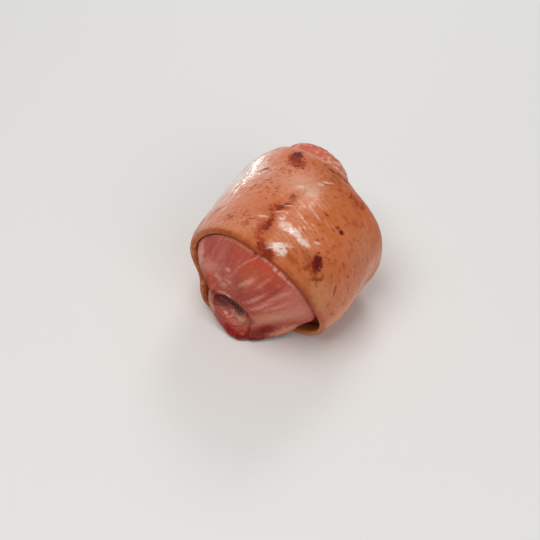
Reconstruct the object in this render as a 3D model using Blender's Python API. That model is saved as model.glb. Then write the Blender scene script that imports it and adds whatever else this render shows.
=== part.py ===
# Roast ham hock, lying on its side: a barrel of meat wrapped in rind, with the shank bone through it.
# The hock's length runs along Y. Its wide cut face looks towards -Y, and its narrow shank end towards +Y.
# Lengths are in millimetres until a mesh is made, which is in metres.
# An angle round the hock, phi, is 0 on the right, 90 degrees on top and 180 on the left,
# seen from the cut face.

import bpy
import numpy as np

MM = 0.001

# Where the middle of the finished piece's box lies in the form's own millimetres
MIDDLE_X = 4.1
MIDDLE_Y = 41.05

# Side lines of the rind along the hock: place, left, right, top, bottom
SIDE_LINES = np.array([
    (-50.0, -46.0, 52.0, 95.0, -1.0),
    (-20.0, -47.0, 52.0, 94.0, -3.5),
    (10.0, -54.0, 60.5, 93.0, -3.5),
    (40.0, -56.0, 63.5, 92.0, -3.5),
    (65.0, -57.0, 63.0, 88.0, -1.5),
    (85.0, -53.0, 39.5, 86.5, 5.0),
    (100.0, -43.0, 24.0, 84.0, 12.0),
    (115.0, -34.0, 12.0, 74.0, 24.0),
])
SQUARENESS = 2.3
UNROLLED_RADIUS = 52.0

# The underside sinks a little and goes flat, turning over this softly
SETTLE_SOFTNESS = 3.0
SETTLE_SINK = 0.9

# The rind is cut askew: how far its front edge is from square at the right, on top and at the upper right
FRONT_EDGE = -14.0
FRONT_EDGE_SIDE = -7.5
FRONT_EDGE_TOP = -14.0
FRONT_EDGE_OVAL = -0.5
FRONT_EDGE_SKEW = -5.5
NOTCH_AT = 74.0
NOTCH_SPREAD = 5.0
NOTCH_DEPTH = 1.6
REAR_EDGE = 95.0
REAR_EDGE_SIDE = -2.5
REAR_EDGE_TOP = 2.0
REAR_EDGE_OVAL = 1.5
REAR_EDGE_SKEW = -3.0

RIND = 4.5
LIP_LENGTH = 3.0
GAP = 1.8
GAP_DEPTH = 6.0

# Low swells and dents of the rind: along, round in degrees, radius, height
SWELLS = (
    (-16.0, 66.0, 15.0, 1.6),
    (-10.0, 98.0, 12.0, 1.0),
    (46.0, 78.0, 20.0, 1.2),
    (22.0, 140.0, 24.0, -0.8),
    (66.0, 118.0, 18.0, 1.2),
    (12.0, 24.0, 20.0, 1.4),
    (-2.0, 222.0, 13.0, 5.5),
    (-6.0, 195.0, 14.0, -4.2),
    (-3.0, 162.0, 16.0, 2.0),
    (58.0, 40.0, 16.0, -1.4),
    (30.0, 205.0, 26.0, 1.8),
    (72.0, 240.0, 20.0, -1.6),
    (8.0, 330.0, 18.0, 1.6),
    (88.0, 20.0, 14.0, 1.0),
    (92.0, 170.0, 16.0, -1.5),
)
# The crease that climbs the rind from its front edge: along, round in degrees
CREASE = ((-31.0, 75.0), (-14.0, 82.0), (2.0, 89.5), (10.0, 91.0), (23.0, 87.0), (36.0, 83.5))
CREASE_WIDTH = 4.5
CREASE_DEPTH = 1.6

# The meat is narrower than the rind at the lower right, and its lower lobe lies out on the table
INSET = 6.0
INSET_AT = 322.0
INSET_SPREAD = 22.0
LOBE_REACH = 23.0
LOBE_AT = 260.0
LOBE_SPREAD_LEFT = 29.0
LOBE_SPREAD_RIGHT = 38.0
LOBE_SAG_SPREAD = 40.0
LOBE_SAG_LENGTH = 9.0

FACE_ROUNDING = 3.5
FACE_BULGE = 5.5
FACE_BULGE_AT = 70.0
FACE_BULGE_SPREAD = 70.0
SEAM_DEPTH = 1.0
SEAM_WIDTH = 3.0
SEAM_LOW = -9.0
SEAM_HIGH = 10.0
SEAM_TURN_FROM = 52.0
SEAM_TURN_TO = 88.0
SEAM_STARTS = 34.0

# The meat of the narrow end comes out of the rind, swells towards its surface and then turns in to the bone
SHANK_OUT = 4.5
SHANK_RISE = 1.5
SHANK_RISE_UP = 2.8
SHANK_RISE_AT = 92.0
SHANK_RISE_SPREAD = 42.0
SHANK_REACH = 2.5
SHANK_SWELL = 0.8

# The shank bone: the middle of each end, the half width and height of its ends, and their slant
BONE_FRONT = np.array([-15.0, -19.0, 21.5])
BONE_REAR = np.array([-10.0, 116.0, 47.0])
BONE_HALF_WIDTH = 14.0
BONE_HALF_HEIGHT = 10.0
BONE_SLANT = -42.0
BONE_SHAFT = 0.72
BONE_GAP = 0.3
BONE_SUNK = 2.0

COLUMNS = 72
BONE_COLUMNS = 40
SHARP_ANGLE = 50.0


def smooth_curve(x, places, values):
    """A curve through the values, each slope taken from the neighbours on both sides."""
    slopes = np.gradient(values, places)
    i = np.clip(np.searchsorted(places, x) - 1, 0, len(places) - 2)
    step = places[i + 1] - places[i]
    t = np.clip((x - places[i]) / step, 0.0, 1.0)
    ahead = 3 * t**2 - 2 * t**3
    start = (t**3 - 2 * t**2 + t) * step * slopes[i]
    end = (t**3 - t**2) * step * slopes[i + 1]
    return (1 - ahead) * values[i] + ahead * values[i + 1] + start + end


def hump(phi, at, spread):
    """1 at an angle round the hock, falling to 0 over the spread on both sides, all in degrees."""
    turn = (np.degrees(phi) - at + 180.0) % 360.0 - 180.0
    return np.exp(-((turn / spread) ** 2))


def ramp(value):
    """0 to 1, with flat ends."""
    t = np.clip(value, 0.0, 1.0)
    return t * t * (3 - 2 * t)


def front_edge(phi):
    slant = FRONT_EDGE_SIDE * np.cos(phi) + FRONT_EDGE_TOP * np.sin(phi)
    skew = FRONT_EDGE_OVAL * np.cos(2 * phi) + FRONT_EDGE_SKEW * np.sin(2 * phi)
    return FRONT_EDGE + slant + skew + NOTCH_DEPTH * hump(phi, NOTCH_AT, NOTCH_SPREAD)


def rear_edge(phi):
    slant = REAR_EDGE_SIDE * np.cos(phi) + REAR_EDGE_TOP * np.sin(phi)
    return REAR_EDGE + slant + REAR_EDGE_OVAL * np.cos(2 * phi) + REAR_EDGE_SKEW * np.sin(2 * phi)


def unrolled_distance(along, phi, place, degrees):
    """Distance over the unrolled rind to a place on it."""
    turn = (np.degrees(phi) - degrees + 180.0) % 360.0 - 180.0
    return np.hypot(along - place, UNROLLED_RADIUS * np.radians(turn))


def distance_to_path(along, phi, path):
    """Distance over the unrolled rind to a run of straight stretches."""
    across = UNROLLED_RADIUS * phi
    nearest = np.full(np.shape(along + phi), np.inf)
    for (y0, turn0), (y1, turn1) in zip(path[:-1], path[1:]):
        x0, x1 = UNROLLED_RADIUS * np.radians(turn0), UNROLLED_RADIUS * np.radians(turn1)
        run = np.hypot(y1 - y0, x1 - x0) ** 2
        t = np.clip(((along - y0) * (y1 - y0) + (across - x0) * (x1 - x0)) / run, 0.0, 1.0)
        nearest = np.minimum(nearest, np.hypot(along - y0 - t * (y1 - y0), across - x0 - t * (x1 - x0)))
    return nearest


def swelling(along, phi):
    """How far the rind stands out of its plain oval: the swells and dents, less the crease."""
    height = -CREASE_DEPTH * np.exp(-((distance_to_path(along, phi, CREASE) / CREASE_WIDTH) ** 2))
    for place, degrees, radius, rise in SWELLS:
        height = height + rise * np.exp(-((unrolled_distance(along, phi, place, degrees) / radius) ** 2))
    return height


def settle(z):
    """The underside sinks onto the table and goes flat there."""
    return np.maximum((z + np.hypot(z, SETTLE_SOFTNESS)) / 2 - SETTLE_SINK, 0.0)


def skin(along, phi, depth):
    """A point a depth under the rind's surface: an oval between the side lines, swollen and settled."""
    places = SIDE_LINES[:, 0]
    left, right, top, bottom = (smooth_curve(along, places, SIDE_LINES[:, k]) for k in (1, 2, 3, 4))
    c, s = np.cos(phi), np.sin(phi)
    wide = (np.abs(c) / ((right - left) / 2)) ** SQUARENESS
    high = (np.abs(s) / ((top - bottom) / 2)) ** SQUARENESS
    radius = (wide + high) ** (-1 / SQUARENESS) + swelling(along, phi)
    x = (left + right) / 2 + (radius - depth) * c
    z = settle((top + bottom) / 2 + radius * s) - depth * s
    return np.stack([x, along + 0 * x, z], -1)


def lobe(phi):
    """How far the meat stands out of the rind, mostly below."""
    on_right = (np.degrees(phi) - LOBE_AT) % 360.0 < 180.0
    return LOBE_REACH * hump(phi, LOBE_AT, np.where(on_right, LOBE_SPREAD_RIGHT, LOBE_SPREAD_LEFT))


def meat_side(along, phi):
    """The meat's side, under the rind and in front of it, where its lower lobe sinks to the table."""
    depth = RIND + GAP + INSET * hump(phi, INSET_AT, INSET_SPREAD)
    out = ramp((front_edge(phi) + 1 - along) / LOBE_SAG_LENGTH)
    return skin(along, phi, depth * (1 - 0.95 * out * hump(phi, LOBE_AT, LOBE_SAG_SPREAD)))


def bone_oval(angle, share, grow):
    """The bone's outline round its own middle, seen along the hock."""
    c, s = np.cos(angle - np.radians(BONE_SLANT)), np.sin(angle - np.radians(BONE_SLANT))
    half_width, half_height = BONE_HALF_WIDTH * share + grow, BONE_HALF_HEIGHT * share + grow
    radius = ((c / half_width) ** 2 + (s / half_height) ** 2) ** -0.5
    return np.stack([radius * np.cos(angle), np.zeros_like(angle), radius * np.sin(angle)], -1)


def bone_section(t, angle, grow):
    """A ring of the bone a share of the way along it: its ends flare out from the shaft."""
    share = BONE_SHAFT + (1 - BONE_SHAFT) * abs(2 * t - 1) ** 3
    return BONE_FRONT + (BONE_REAR - BONE_FRONT) * t + bone_oval(angle, share, grow)


def angles_from(centre, points):
    """Angles round a middle, rising without a jump."""
    return np.unwrap(np.arctan2(points[:, 2] - centre[2], points[:, 0] - centre[0]))


def seam(x, z):
    """The shallow groove between the two muscles of the cut face."""
    turned = ramp((z - SEAM_TURN_FROM) / (SEAM_TURN_TO - SEAM_TURN_FROM))
    middle = SEAM_LOW + (SEAM_HIGH - SEAM_LOW) * turned
    return SEAM_DEPTH * np.exp(-(((x - middle) / SEAM_WIDTH) ** 2)) * ramp((z - SEAM_STARTS) / 12.0)


def face_rows(phi, shares):
    """The cut face from the bone's lip out to the meat's rim, crowned, and rounded over at the rim."""
    rim = meat_side(front_edge(phi) + FACE_ROUNDING - lobe(phi), phi)
    lip = bone_section(0.0, angles_from(BONE_FRONT, rim), BONE_GAP)
    crown = FACE_BULGE * (0.4 + 0.6 * hump(phi, FACE_BULGE_AT, FACE_BULGE_SPREAD))
    edge = rim[:, 1] - FACE_ROUNDING
    rows = []
    for share in shares:
        row = lip + (rim - lip) * share
        row[:, 1] = lip[:, 1] + (edge - lip[:, 1]) * share - crown * 4 * share * (1 - share)
        row[:, 1] += FACE_ROUNDING * (1 - np.sqrt(1 - share**8)) + seam(row[:, 0], row[:, 2])
        rows.append(row)
    return rows


def shank_side(phi, share):
    """The meat's side at the narrow end, a share of the way from under the rind to the shoulder."""
    rise = SHANK_RISE + SHANK_RISE_UP * hump(phi, SHANK_RISE_AT, SHANK_RISE_SPREAD)
    along = rear_edge(phi) - 1 + (SHANK_OUT + 1) * share
    return skin(along, phi, RIND + GAP - rise * np.sin(share * np.pi / 2))


def shank_rows(phi, shares):
    """The narrow end, from the meat's shoulder in to the bone's lip."""
    rim = shank_side(phi, 1.0)
    lip = bone_section(1.0, angles_from(BONE_REAR, rim), BONE_GAP)
    outward = np.stack([np.cos(phi), np.zeros_like(phi), np.sin(phi)], -1)
    rows = []
    for share in shares:
        turn = share * np.pi / 2
        row = lip + (rim - lip) * np.cos(turn) + outward * SHANK_SWELL * np.sin(2 * turn) * (1 - share)
        row[:, 1] = rim[:, 1] + (lip[:, 1] - rim[:, 1]) * np.sin(turn) ** 0.8
        row[:, 1] += SHANK_REACH * np.sin(2 * turn)
        rows.append(row)
    return rows


def hock_rows():
    """Rings of points: over the face, back along the rind, in over the shank end, back by the bone."""
    phi = np.linspace(0.0, 2 * np.pi, COLUMNS, endpoint=False)
    rows = face_rows(phi, (0.0, 0.1, 0.22, 0.34, 0.46, 0.58, 0.7, 0.8, 0.88, 0.94, 0.98, 1.0))
    front, rear = front_edge(phi), rear_edge(phi)
    rim_at, gap_end = front + FACE_ROUNDING - lobe(phi), front + GAP_DEPTH
    for share in (0.35, 0.7, 1.0):
        rows.append(meat_side(rim_at + (gap_end - rim_at) * share, phi))
    rows.append(skin(gap_end + 0.8, phi, RIND + GAP / 2))
    rows.append(skin(gap_end, phi, RIND))
    for turn in np.linspace(0.0, np.pi, 7):
        rows.append(skin(front + LIP_LENGTH * (1 - np.sin(turn)), phi, RIND * (1 + np.cos(turn)) / 2))
    start, end = front + LIP_LENGTH, rear - LIP_LENGTH
    for share in np.linspace(0.0, 1.0, 21)[1:]:
        rows.append(skin(start + (end - start) * share, phi, 0.0))
    for turn in np.linspace(0.0, np.pi, 6)[1:]:
        rows.append(skin(rear - LIP_LENGTH * (1 - np.sin(turn)), phi, RIND * (1 - np.cos(turn)) / 2))
    rows.append(skin(rear - GAP_DEPTH, phi, RIND + GAP / 2))
    rows += [shank_side(phi, share) for share in (0.0, 0.15, 0.35, 0.6, 0.8)]
    rows += shank_rows(phi, (0.0, 0.12, 0.28, 0.46, 0.64, 0.82, 1.0))
    turn_rear, turn_front = angles_from(BONE_REAR, rows[-1]), angles_from(BONE_FRONT, rows[0])
    turn_rear += 2 * np.pi * np.round((turn_front - turn_rear).mean() / (2 * np.pi))
    for t in (0.96, 0.88, 0.7, 0.5, 0.3, 0.12, 0.04):
        rows.append(bone_section(t, turn_front + (turn_rear - turn_front) * ramp(t), BONE_GAP))
    return rows


def bone_rows():
    """Rings of the bone from its sunken, domed front end to its rear end."""
    angle = np.linspace(0.0, 2 * np.pi, BONE_COLUMNS, endpoint=False)
    length = BONE_REAR[1] - BONE_FRONT[1]
    dome = ((0.35, 0.0), (0.7, 0.4), (0.9, 1.2), (1.0, 2.6))
    ends = [(share, (BONE_SUNK + back) / length) for share, back in dome]
    shaft = [(1.0, t) for t in (0.06, 0.12, 0.3, 0.5, 0.7, 0.88, 0.94)]
    rows = []
    for share, t in ends + shaft + [(share, 1.0 - t) for share, t in reversed(ends)]:
        ring = bone_section(t, angle, 0.0)
        rows.append(ring.mean(0) + (ring - ring.mean(0)) * share)
    return rows


def mesh_from_rows(name, rows, joined):
    """A closed skin over rings of points, either joined from last to first or capped at both ends."""
    rings, columns = len(rows), len(rows[0])
    points = (np.concatenate(rows) - (MIDDLE_X, MIDDLE_Y, 0.0)) * MM
    faces = []
    for i in range(rings if joined else rings - 1):
        below, above = i * columns, (i + 1) % rings * columns
        for j in range(columns):
            k = (j + 1) % columns
            faces.append((below + k, below + j, above + j, above + k))
    points = points.tolist()
    if not joined:
        first, last = range(columns), range((rings - 1) * columns, rings * columns)
        for ring in (list(first), list(reversed(last))):
            middle = len(points)
            points.append(np.mean([points[i] for i in ring], axis=0).tolist())
            faces += [(middle, ring[j], ring[(j + 1) % columns]) for j in range(columns)]
    mesh = bpy.data.meshes.new(name)
    mesh.from_pydata(points, [], faces)
    mesh.shade_smooth()
    return mesh


def finish(name, color, roughness):
    material = bpy.data.materials.new(name)
    material.use_nodes = True
    shader = material.node_tree.nodes["Principled BSDF"]
    shader.inputs["Base Color"].default_value = (*color, 1.0)
    shader.inputs["Roughness"].default_value = roughness
    shader.inputs["Metallic"].default_value = 0.0
    return material


def add_piece(name, rows, joined, material):
    mesh = mesh_from_rows(name, rows, joined)
    mesh.materials.append(material)
    mesh.set_sharp_from_angle(angle=np.radians(SHARP_ANGLE))
    piece = bpy.data.objects.new(name, mesh)
    bpy.context.scene.collection.objects.link(piece)


def main():
    for obj in list(bpy.data.objects):
        bpy.data.objects.remove(obj, do_unlink=True)
    add_piece("hock", hock_rows(), True, finish("roast_rind", (0.52, 0.20, 0.09), 0.35))
    add_piece("bone", bone_rows(), False, finish("cooked_bone", (0.42, 0.27, 0.20), 0.6))


main()
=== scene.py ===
# Roast ham hock: glossy rind, cut meat and shank bone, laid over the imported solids.
# Lengths are millimetres until a mesh is made. The hock lies along Y with its cut face towards -Y.
# "round" is the angle about the hock: 0 at the right, 90 on top and 180 at the left.
import bpy
import numpy as np
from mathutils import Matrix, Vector


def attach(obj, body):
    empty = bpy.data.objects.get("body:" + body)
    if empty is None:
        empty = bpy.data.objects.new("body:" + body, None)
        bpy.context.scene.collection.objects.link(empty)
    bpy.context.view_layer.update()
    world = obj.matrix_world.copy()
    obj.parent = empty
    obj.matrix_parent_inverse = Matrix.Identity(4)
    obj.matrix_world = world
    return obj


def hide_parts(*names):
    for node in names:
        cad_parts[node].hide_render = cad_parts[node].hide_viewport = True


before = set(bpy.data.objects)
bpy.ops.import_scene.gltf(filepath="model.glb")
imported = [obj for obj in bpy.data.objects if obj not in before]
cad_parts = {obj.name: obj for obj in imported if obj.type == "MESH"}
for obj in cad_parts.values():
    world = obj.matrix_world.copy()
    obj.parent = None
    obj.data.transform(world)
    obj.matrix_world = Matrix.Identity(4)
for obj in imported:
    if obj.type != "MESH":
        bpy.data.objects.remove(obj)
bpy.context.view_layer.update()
print("frame loaded")

# the shape, with the same values as the solids
form = {
    "middle": (4.1, 41.05, 0.0),
    "sideLines": np.array([  # place, left, right, top, bottom
        (-50.0, -46.0, 52.0, 95.0, -1.0),
        (-20.0, -47.0, 52.0, 94.0, -3.5),
        (10.0, -54.0, 60.5, 93.0, -3.5),
        (40.0, -56.0, 63.5, 92.0, -3.5),
        (65.0, -57.0, 63.0, 88.0, -1.5),
        (85.0, -53.0, 39.5, 86.5, 5.0),
        (100.0, -43.0, 24.0, 84.0, 12.0),
        (115.0, -34.0, 12.0, 74.0, 24.0),
    ]),
    "squareness": 2.3,
    "unrolledRadius": 52.0,
    "swells": (  # along, round, radius, height
        (-16.0, 66.0, 15.0, 1.6),
        (-10.0, 98.0, 12.0, 1.0),
        (46.0, 78.0, 20.0, 1.2),
        (22.0, 140.0, 24.0, -0.8),
        (66.0, 118.0, 18.0, 1.2),
        (12.0, 24.0, 20.0, 1.4),
        (-2.0, 222.0, 13.0, 5.5),
        (-6.0, 195.0, 14.0, -4.2),
        (-3.0, 162.0, 16.0, 2.0),
        (58.0, 40.0, 16.0, -1.4),
        (30.0, 205.0, 26.0, 1.8),
        (72.0, 240.0, 20.0, -1.6),
        (8.0, 330.0, 18.0, 1.6),
        (88.0, 20.0, 14.0, 1.0),
        (92.0, 170.0, 16.0, -1.5),
    ),
    "crease": ((-31.0, 75.0), (-14.0, 82.0), (2.0, 89.5), (10.0, 91.0), (23.0, 87.0), (36.0, 83.5)),
    "creaseDepth": 1.6,
    "creaseHalfWidth": 4.5,
    "tableRounding": 3.0,
    "tableSink": 0.9,
    "rindThickness": 4.5,
    "leftThickening": 4.4,
    "lipLength": 3.0,
    "gap": 1.8,
    "lobeReach": 23.0,
    "boneFront": np.array([-15.0, -19.0, 21.5]),
    "boneRear": np.array([-10.0, 116.0, 47.0]),
    "boneHalfWidth": 14.0,
    "boneHalfHeight": 10.0,
    "boneSlant": -42.0,
    "boneClearance": 0.3,
}

# the colours of the finishes, as screen values
tones = {
    "salmon": (203, 111, 67),
    "salmonPale": (214, 132, 92),
    "pink": (205, 120, 90),
    "orange": (194, 100, 48),
    "amber": (184, 98, 42),
    "tan": (206, 134, 84),
    "honey": (216, 136, 62),
    "brown": (150, 60, 20),
    "redBrown": (132, 38, 4),
    "speckRed": (142, 32, 2),
    "rust": (170, 58, 10),
    "burnt": (94, 18, 16),
    # a cream colour: pale fat, and also painted highlight
    "creamAndHighlight": (242, 204, 180),
    # painted highlight and sheen colour
    "paintedHighlight": (246, 228, 218),
    "meatPink": (182, 86, 72),
    "meatRed": (182, 74, 56),
    "meatPale": (200, 122, 104),
    "film": (232, 164, 146),
    "fat": (214, 150, 118),
    # painted shade in the gap under the rind and on hidden meat
    "paintedGapShade": (120, 34, 14),
    "beige": (220, 158, 130),
    "meatBrick": (194, 72, 50),
    "meatOrange": (190, 88, 54),
    "meatDeep": (150, 46, 34),
    "mauve": (180, 88, 80),
    "blood": (106, 6, 4),
    "bloodRed": (134, 12, 8),
    "fatAmber": (204, 132, 88),
    "boneGrey": (120, 72, 58),
    "marrow": (70, 30, 26),
    "shankMeat": (204, 104, 80),
}


def linear(name):
    # a named tone as linear light: ((c + 0.055) / 1.055) to the power 2.4
    return ((np.array(tones[name]) / 255 + 0.055) / 1.055) ** 2.4


def smoothCurve(x, places, values):
    # cubic through the values, each slope taken from the neighbours on both sides
    slopes = np.gradient(values, places)
    i = np.clip(np.searchsorted(places, x) - 1, 0, len(places) - 2)
    step = places[i + 1] - places[i]
    t = np.clip((x - places[i]) / step, 0.0, 1.0)
    ahead = 3 * t**2 - 2 * t**3
    start = (t**3 - 2 * t**2 + t) * step * slopes[i]
    end = (t**3 - t**2) * step * slopes[i + 1]
    return (1 - ahead) * values[i] + ahead * values[i + 1] + start + end


def hump(phi, at, spread):
    # exp of minus (turn over spread) squared, the turn in degrees from an angle round the hock
    turn = (np.degrees(phi) - at + 180.0) % 360.0 - 180.0
    return np.exp(-((turn / spread) ** 2))


def ramp(value):
    # 0 to 1 with flat ends: 3t squared minus 2t cubed
    t = np.clip(value, 0.0, 1.0)
    return t * t * (3 - 2 * t)


def waves(points, size, seed, count=36):
    # smooth noise of about -1 to 1: the sum of many cosines in random directions,
    # their lengths near the size, over the root of their number
    rng = np.random.default_rng(seed)
    heading = rng.normal(size=(3, count))
    heading /= np.linalg.norm(heading, axis=0)
    lengths = size * rng.uniform(0.7, 1.7, count)
    start = rng.uniform(0, 2 * np.pi, count)
    return np.cos(points @ (heading * 2 * np.pi / lengths) + start).sum(-1) / np.sqrt(count)


def mottle(points, size, seed):
    # three layers of waves, each half the size and 0.6 of the strength of the one before
    return sum(0.6**k * waves(points, size / 2**k, seed + k) for k in range(3)) / 1.5


def frontEdge(phi):
    # the rind's front edge: a slanted plane, a second-order skew and a small notch
    slant = -7.5 * np.cos(phi) - 14.0 * np.sin(phi)
    skew = -0.5 * np.cos(2 * phi) - 5.5 * np.sin(2 * phi)
    return -14.0 + slant + skew + 1.6 * hump(phi, 74.0, 5.0)


def rearEdge(phi):
    # the rind's rear edge: a slanted plane and a second-order skew
    slant = -2.5 * np.cos(phi) + 2.0 * np.sin(phi)
    return 95.0 + slant + 1.5 * np.cos(2 * phi) - 3.0 * np.sin(2 * phi)


def unrolled(along, phi, place, degrees):
    # offsets from a place on the unrolled rind, along the hock and round it
    turn = (np.degrees(phi) - degrees + 180.0) % 360.0 - 180.0
    return along - place + 0 * phi, form["unrolledRadius"] * np.radians(turn) + 0 * along


def pathDistance(u, w, path):
    # distance on a flat sheet to the nearest of a run of straight stretches
    nearest = np.full(np.shape(u + w), np.inf)
    for (u0, w0), (u1, w1) in zip(path[:-1], path[1:]):
        du, dw = u1 - u0, w1 - w0
        t = np.clip(((u - u0) * du + (w - w0) * dw) / (du**2 + dw**2), 0.0, 1.0)
        nearest = np.minimum(nearest, np.hypot(u - u0 - t * du, w - w0 - t * dw))
    return nearest


def creaseDistance(along, phi):
    # distance over the unrolled rind to its crease
    path = [(place, form["unrolledRadius"] * np.radians(degrees)) for place, degrees in form["crease"]]
    return pathDistance(along, form["unrolledRadius"] * phi, path)


def swelling(along, phi):
    # bell-shaped swells and dents over the unrolled rind, less the crease
    fromCrease = creaseDistance(along, phi) / form["creaseHalfWidth"]
    height = -form["creaseDepth"] * np.exp(-(fromCrease**2))
    for place, degrees, radius, rise in form["swells"]:
        u, w = unrolled(along, phi, place, degrees)
        height = height + rise * np.exp(-(u**2 + w**2) / radius**2)
    return height


def skin(along, phi, depth):
    # superellipse between the side lines plus its swelling, less a depth;
    # the underside is clipped softly at the table
    left, right, top, bottom = (
        smoothCurve(along, form["sideLines"][:, 0], form["sideLines"][:, k]) for k in (1, 2, 3, 4)
    )
    c, s = np.cos(phi), np.sin(phi)
    n = form["squareness"]
    wide = (np.abs(c) / ((right - left) / 2)) ** n
    high = (np.abs(s) / ((top - bottom) / 2)) ** n
    radius = (wide + high) ** (-1 / n) + swelling(along, phi)
    z = (top + bottom) / 2 + radius * s
    z = np.maximum((z + np.hypot(z, form["tableRounding"])) / 2 - form["tableSink"], 0.0)
    return np.stack([(left + right) / 2 + (radius - depth) * c, along + 0 * phi, z - depth * s], -1)


def rindDepth(phi):
    # the rind is thicker at its left edge
    return form["rindThickness"] + form["leftThickening"] * hump(phi, 195.0, 26.0)


def gapDepth(phi):
    # how deep the meat starts under the rind's surface: the gap closes along the upper left
    return rindDepth(phi) + form["gap"] * (1 - 0.85 * hump(phi, 125.0, 75.0))


def lobe(phi):
    # how far the lower meat stands out of the rind: a lopsided hump round 260 degrees
    onRight = (np.degrees(phi) - 260.0) % 360.0 < 180.0
    return form["lobeReach"] * hump(phi, 260.0, np.where(onRight, 38.0, 29.0))


def meatSide(along, phi, depth):
    # the skin at a depth, narrower at the lower right, and sagging to the table where the lobe stands out
    depth = depth + 6.0 * hump(phi, 322.0, 22.0)
    out = ramp((frontEdge(phi) + 1 - along) / 9.0)
    return skin(along, phi, depth * (1 - 0.95 * out * hump(phi, 260.0, 40.0)))


def boneRing(t, angle, grow):
    # an ellipse on a slant, carried along the line between the bone's ends;
    # its size flares with |2t - 1| cubed
    share = 0.72 + 0.28 * np.abs(2 * t - 1) ** 3
    slant = np.radians(form["boneSlant"])
    c, s = np.cos(angle - slant), np.sin(angle - slant)
    halfWidth = form["boneHalfWidth"] * share + grow
    halfHeight = form["boneHalfHeight"] * share + grow
    radius = ((c / halfWidth) ** 2 + (s / halfHeight) ** 2) ** -0.5
    ring = np.stack([radius * np.cos(angle), 0 * radius, radius * np.sin(angle)], -1)
    return form["boneFront"] + (form["boneRear"] - form["boneFront"]) * np.asarray(t)[..., None] + ring


def anglesFrom(centre, ring):
    # angles of a ring's points about a middle, rising without a jump
    return np.unwrap(np.arctan2(ring[..., 2] - centre[2], ring[..., 0] - centre[0]), axis=-1)


def normals(points):
    # cross product of the grid's two slopes, the columns running round without a break
    turned = np.concatenate([points[:, -1:], points, points[:, :1]], 1)
    acrossSlope = (turned[:, 2:] - turned[:, :-2]) / 2
    alongSlope = np.gradient(points, axis=0)
    cross = np.cross(alongSlope, acrossSlope)
    return -cross / (np.linalg.norm(cross, axis=-1, keepdims=True) + 1e-9)


def lay(tone, name, amount):
    # mixes a named tone over the others: tone plus amount times the difference
    return tone + (linear(name) - tone) * np.clip(amount, 0, 1)[..., None]


def makeMesh(name, points, joined, values):
    # quads between neighbouring rings of the grid; open ends are closed by a point in their middle
    rings, columns = points.shape[:2]
    index = np.arange(rings * columns).reshape(rings, columns)
    below, above = (index, np.roll(index, -1, 0)) if joined else (index[:-1], index[1:])
    quads = np.stack([np.roll(below, -1, 1), below, above, np.roll(above, -1, 1)], -1).reshape(-1, 4)
    vertices = points.reshape(-1, 3)
    faces = quads.tolist()
    values = {key: value.reshape(-1, value.shape[-1]) for key, value in values.items()}
    if not joined:
        for ring in (index[0], index[-1][::-1]):
            middle = len(vertices)
            vertices = np.concatenate([vertices, vertices[ring].mean(0, keepdims=True)])
            faces += np.stack([np.full(columns, middle), ring, np.roll(ring, -1)], -1).tolist()
            values = {key: np.concatenate([value, value[ring[:1]]]) for key, value in values.items()}
    mesh = bpy.data.meshes.new(name)
    mesh.from_pydata(((vertices - form["middle"]) / 1000).tolist(), [], faces)
    for key, value in values.items():
        if value.shape[1] == 3:
            layer = mesh.attributes.new(key, "FLOAT_COLOR", "POINT")
            opaque = np.hstack([value, np.ones((len(value), 1))])
            layer.data.foreach_set("color", opaque.astype("f4").ravel())
        else:
            layer = mesh.attributes.new(key, "FLOAT", "POINT")
            layer.data.foreach_set("value", value.astype("f4").ravel())
    mesh.shade_smooth()
    mesh.update()
    return mesh


def placePiece(name, mesh, material, node):
    # an object at the origin, on the root body, that stands for its node in the solids
    piece = bpy.data.objects.new(name, mesh)
    bpy.context.scene.collection.objects.link(piece)
    mesh.materials.append(material)
    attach(piece, "root")
    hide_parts(node)


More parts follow.
